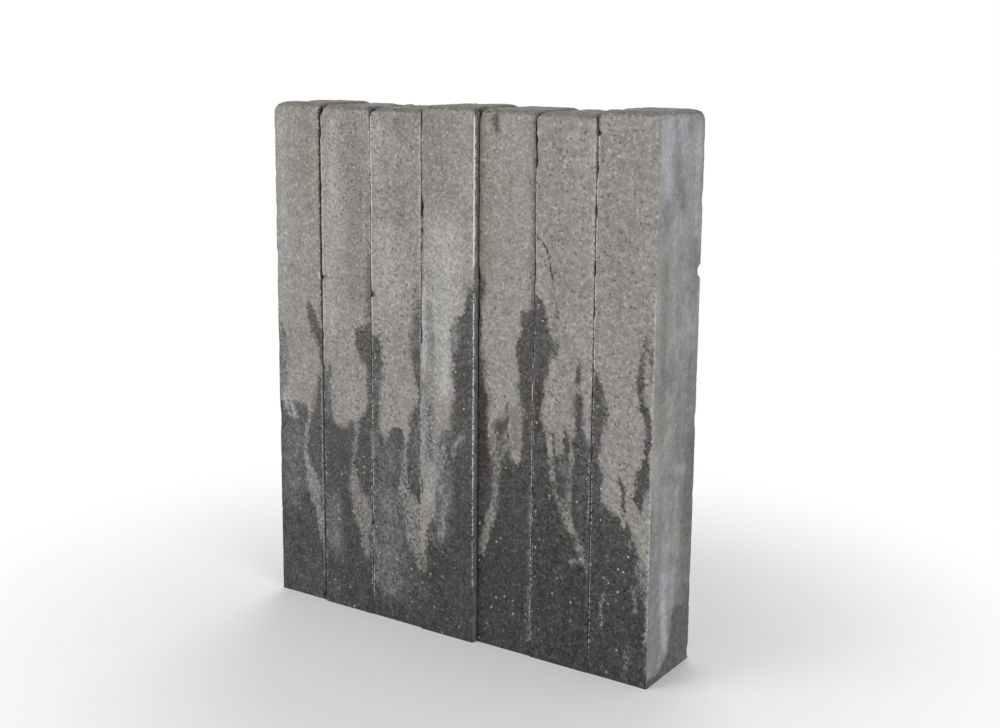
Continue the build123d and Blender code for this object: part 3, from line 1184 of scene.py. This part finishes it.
# %% [markdown]
# ## The floor
# The block stands on a pale floor, as in a studio. A floor of one colour would show where it ends
# against the white background, so it keeps the shadow near the foot and fades to white further out.
# The fade is only for what the camera sees: the light that the floor throws back stays as it was.

# %% Floor that fades to white
floor_half_width = 12
floor_colour = (0.80, 0.80, 0.80, 1)
floor_roughness = 0.9
fade_range = (0.45, 1.25)


def make_floor_material():
    material = bpy.data.materials.new("pale_floor")
    material.use_nodes = True
    tree = material.node_tree
    shader = tree.nodes["Principled BSDF"]
    shader.inputs["Base Color"].default_value = floor_colour
    shader.inputs["Roughness"].default_value = floor_roughness
    from_middle = add_node(tree, "ShaderNodeVectorMath", operation="LENGTH")
    tree.links.new(add_node(tree, "ShaderNodeTexCoord").outputs["Object"], from_middle.inputs[0])
    faded = ramp(tree, from_middle.outputs["Value"], *fade_range)
    path = add_node(tree, "ShaderNodeLightPath")
    glow = add_node(tree, "ShaderNodeEmission")
    mix = add_node(tree, "ShaderNodeMixShader")
    feed(tree, mix.inputs[0], multiply(tree, faded, path.outputs["Is Camera Ray"]))
    tree.links.new(shader.outputs[0], mix.inputs[1])
    tree.links.new(glow.outputs[0], mix.inputs[2])
    tree.links.new(mix.outputs[0], tree.nodes["Material Output"].inputs["Surface"])
    return material


def make_floor():
    mesh = bpy.data.meshes.new("studio_floor")
    plate = bmesh.new()
    bmesh.ops.create_grid(plate, x_segments=1, y_segments=1, size=floor_half_width)
    plate.to_mesh(mesh)
    plate.free()
    mesh.materials.append(make_floor_material())
    floor = bpy.data.objects.new("studio_floor", mesh)
    bpy.context.scene.collection.objects.link(floor)
    return floor


floor = make_floor()
print("floor", floor.name, "width", 2 * floor_half_width)

# %% [markdown]
# ## The light
# Soft light from all sides shows the stains without hard shadows. One lamp could not do that, so there
# is an even sky and three large panels, at a level where a colour renders about as it is written. What
# the camera and the reflections see of the sky is plain white.

# %% An even sky
white = (1.0, 1.0, 1.0, 1)
sky_strength = 0.55


def make_sky():
    world = bpy.data.worlds.new("soft_sky")
    bpy.context.scene.world = world
    world.use_nodes = True
    tree = world.node_tree
    sky = tree.nodes["Background"]
    sky.inputs["Color"].default_value = white
    sky.inputs["Strength"].default_value = sky_strength
    backdrop = add_node(tree, "ShaderNodeBackground")
    backdrop.inputs["Color"].default_value = white
    path = add_node(tree, "ShaderNodeLightPath")
    mix = add_node(tree, "ShaderNodeMixShader")
    seen = calculate(tree, "MAXIMUM", path.outputs["Is Camera Ray"], path.outputs["Is Glossy Ray"])
    seen = calculate(tree, "MAXIMUM", seen, path.outputs["Is Transmission Ray"])
    feed(tree, mix.inputs[0], seen)
    tree.links.new(sky.outputs[0], mix.inputs[1])
    tree.links.new(backdrop.outputs[0], mix.inputs[2])
    tree.links.new(mix.outputs[0], tree.nodes["World Output"].inputs["Surface"])
    return world


print("sky", make_sky().name, "strength", sky_strength)

# %% Three soft panels
# Each panel is (name, place, width, watts).
panels = (
    ("front_panel", (-2.6, -3.4, 2.6), 3.0, 95),
    ("side_panel", (3.6, -1.6, 2.2), 2.4, 60),
    ("back_panel", (-1.6, 3.6, 2.6), 3.0, 80),
)
middle_of_block = Vector((0, 0, 0.5))


def add_panel(title, place, width, watts):
    panel = bpy.data.lights.new(title, "AREA")
    panel.size = width
    panel.energy = watts
    lamp = bpy.data.objects.new(title, panel)
    lamp.location = place
    lamp.rotation_euler = (middle_of_block - Vector(place)).to_track_quat("-Z", "Y").to_euler()
    bpy.context.scene.collection.objects.link(lamp)


for title, place, width, watts in panels:
    add_panel(title, place, width, watts)

# %% [markdown]
# ## The camera
# The picture was taken by hand from about breast height, a little to the right of the block. The
# place, turn and lens were fitted to the corners and joints of the block, with the sensor 36 mm wide.
# A camera could be aimed at a target instead, but then its slight roll would be lost.

# %% Place the camera
camera_place = Vector((1.477, -2.137, 1.098))
camera_turn, camera_tilt, camera_roll = (math.radians(angle) for angle in (33.6, 10.2, 0.48))
sensor_width, lens, upright_shift = 36, 50.5, -0.06

camera = bpy.data.objects.new("camera", bpy.data.cameras.new("camera"))
camera.data.sensor_width = sensor_width
camera.data.lens = lens
camera.data.shift_y = upright_shift
turned = Matrix.Rotation(camera_turn, 4, "Z") @ Matrix.Rotation(math.pi / 2 - camera_tilt, 4, "X")
camera.matrix_world = Matrix.Translation(camera_place) @ turned @ Matrix.Rotation(camera_roll, 4, "Z")
bpy.context.scene.collection.objects.link(camera)
bpy.context.scene.camera = camera
bpy.context.scene.view_settings.view_transform = "Standard"
print("camera at", tuple(round(value, 3) for value in camera.location))
